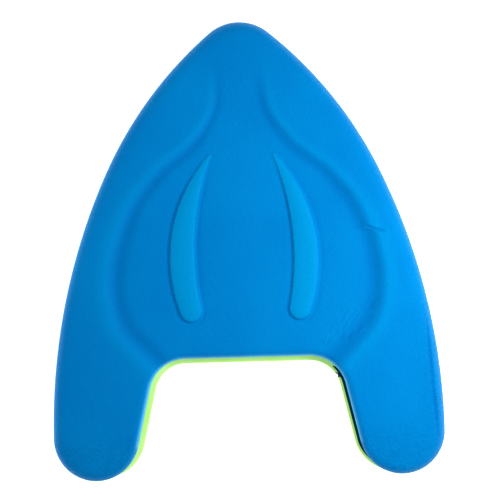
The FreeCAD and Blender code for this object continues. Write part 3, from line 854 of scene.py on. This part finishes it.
# Painted highlight, painted shade, the ridges' painted sheen and the rims' painted highlight.
tone = blue.mix(shoulder_and_wrinkle_highlight * 0.40, tone, (0.0, 0.305, 0.720))
tone = blue.mix(foot * 0.40, tone, (0.0, 0.125, 0.450))
tone = blue.mix(pressed_and_sheen * 0.9, tone, (0.0, 0.310, 0.710))
tone = blue.mix(rim * 0.75, tone, (0.060, 0.520, 0.930))
relief = blue.bump(grain, 0.00008, 0.8)
relief = blue.bump(speck, 0.00040, 0.8, relief)
relief = blue.bump(blue.noise(place, 230, 2), 0.00060, 0.6, relief)
relief = blue.bump(crease * creased, 0.00036, 0.75, relief)
rough = 0.50 - 0.10 * pressed_and_sheen + 0.10 * cloud
blue_skin = blue.finish({"Base Color": tone, "Roughness": rough, "Normal": relief,
                         "Specular IOR Level": 0.12, "Specular Tint": (0.04, 0.55, 1.0, 1.0)})
deck.data.materials.clear()
deck.data.materials.append(blue_skin)
print("deck material:", len(blue.tree.nodes), "nodes")

# %% [markdown]
# The base is cut from a sheet of the same kind of foam, light green, with fine pores. Where the
# seam has opened, the gap is painted a very dark blue: the glued deck's blue in painted shade.
# The thin sheet lets light through, so a weak glow of its own colour stands for the light that
# passes inside it.

# %% Green foam sheet
green = Sheet("green_foam_sheet")
place = green.add("ShaderNodeTexCoord", {}, {}, "Object")
cloud = green.noise(place, 30, 3)
pores = green.add("ShaderNodeTexVoronoi", {}, {"Vector": place, "Scale": 1100.0})
gap_shade = green.add("ShaderNodeAttribute", {"attribute_name": "gap"}, {}, "Fac")
tone = green.mix(green.ramp(cloud, 0.3, 0.7), (0.50, 0.92, 0.18), (0.60, 0.97, 0.28))
tone = green.mix(green.ramp(pores, 0.45, 0.75) * 0.30, tone, (0.40, 0.74, 0.12))
# Painted shade in the opened seam: the green turns a very dark blue there.
tone = green.mix(green.ramp(gap_shade, 0.2, 0.8), tone, (0.002, 0.060, 0.130))
relief = green.bump(pores, 0.00010, 0.5)
relief = green.bump(green.noise(place, 500, 2), 0.00008, 0.5, relief)
glow = green.mix(green.ramp(gap_shade, 0.2, 0.8), (0.60, 1.0, 0.26), (0.0, 0.0, 0.0))
rough = 0.62 + 0.10 * cloud
green_sheet = green.finish({"Emission Color": glow, "Emission Strength": 0.32,
                            "Base Color": tone, "Roughness": rough, "Normal": relief,
                            "Specular IOR Level": 0.25})
base.data.materials.clear()
base.data.materials.append(green_sheet)
print("base material:", len(green.tree.nodes), "nodes")

# %% [markdown]
# The core is never seen on a whole board. It is white expanded foam, whose beads are pressed
# against each other, and it keeps the frame's own shape. Cells with sunk edges make the beads,
# and shade is painted grey along those sunk edges.

# %% White bead foam
white = Sheet("white_bead_foam")
place = white.add("ShaderNodeTexCoord", {}, {}, "Object")
beads = white.add("ShaderNodeTexVoronoi", {"feature": "DISTANCE_TO_EDGE"},
                  {"Vector": place, "Scale": 260.0})
# Painted shade: grey along the beads' sunk edges.
tone = white.mix(white.ramp(beads, 0.0, 0.12), (0.66, 0.67, 0.66), (0.88, 0.89, 0.88))
relief = white.bump(white.ramp(beads, 0.0, 0.3), 0.0003, 0.6)
core.data.materials.clear()
core.data.materials.append(white.finish({"Base Color": tone, "Roughness": 0.8, "Normal": relief}))
print("core material:", len(white.tree.nodes), "nodes")

# %% [markdown]
# The board lies on a plain pale floor. The floor glows, as a lit table does, so it stays white in
# the board's shadow and lights the rims from below. It lies half a millimetre under the board.

# %% Floor
bpy.ops.mesh.primitive_plane_add(size=8, location=(0, 0, cad_low.z - 0.0005))
floor = bpy.context.object
floor.name = "floor"
pale = Sheet("pale_floor")
place = pale.add("ShaderNodeTexCoord", {}, {}, "Object")
tone = pale.mix(pale.noise(place, 40, 3), (0.93, 0.93, 0.93), (0.96, 0.96, 0.96))
floor.data.materials.append(pale.finish({
    "Base Color": tone, "Roughness": 0.9, "Specular IOR Level": 0.1,
    "Emission Color": (1, 1, 1, 1), "Emission Strength": 0.85}))
print("floor at", round(floor.location.z, 4))

# %% [markdown]
# The light is plain and soft: an even pale sky, one round lamp above and to the right, which
# makes the right side lighter than the left, and a weaker, low one on the left, for the left
# rail. The camera doesn't see the lamps themselves.

# %% Light
world = bpy.data.worlds.new("pale_sky")
world.use_nodes = True
world.node_tree.nodes["Background"].inputs["Color"].default_value = (0.97, 0.985, 1.0, 1)
world.node_tree.nodes["Background"].inputs["Strength"].default_value = 0.40
bpy.context.scene.world = world


def lamp(name, place, target, size, power):
    light = bpy.data.lights.new(name, "AREA")
    light.shape, light.size, light.energy = "DISK", size, power
    holder = bpy.data.objects.new(name, light)
    holder.visible_camera = False
    holder.location = place
    holder.rotation_euler = (Vector(target) - Vector(place)).to_track_quat("-Z", "Y").to_euler()
    bpy.context.scene.collection.objects.link(holder)


lamp("main_lamp", (0.38, 0.02, 0.46), (0.02, -0.02, 0.02), 0.30, 2.75)
lamp("left_fill", (-0.80, 0.10, 0.22), (0, 0, 0.02), 0.50, 1.3)
print("lamps:", len(bpy.data.lights))

# %% [markdown]
# The camera looks almost straight down from two metres, with a long lens. It stands a little to
# the right of the middle, one degree off straight down, and is slightly rolled. Its three axes
# are worked out and put in its matrix, which leaves no doubt about the order of turns.

# %% Camera
camera_data = bpy.data.cameras.new("camera")
camera = bpy.data.objects.new("camera", camera_data)
bpy.context.scene.collection.objects.link(camera)
bpy.context.scene.camera = camera
camera_data.lens, camera_data.sensor_width = 152.5, 36
camera_data.clip_end = 20
target = Vector((0.0056, -0.0007, 0.02))
tilt, roll, distance = math.radians(1.0), math.radians(1.56), 2.0
back = Vector((math.sin(tilt), 0, math.cos(tilt)))
across = Vector((math.sin(roll), math.cos(roll), 0)).cross(back).normalized()
upright = back.cross(across)
camera.matrix_world = Matrix.Translation(target + back * distance) @ Matrix(
    (across, upright, back)).transposed().to_4x4()
bpy.context.scene.view_settings.view_transform = "Standard"
print("camera at", [round(side, 4) for side in camera.matrix_world.translation])

# %% [markdown]
# Last, the scene is brought up to date.

# %% Finish
bpy.context.view_layer.update()
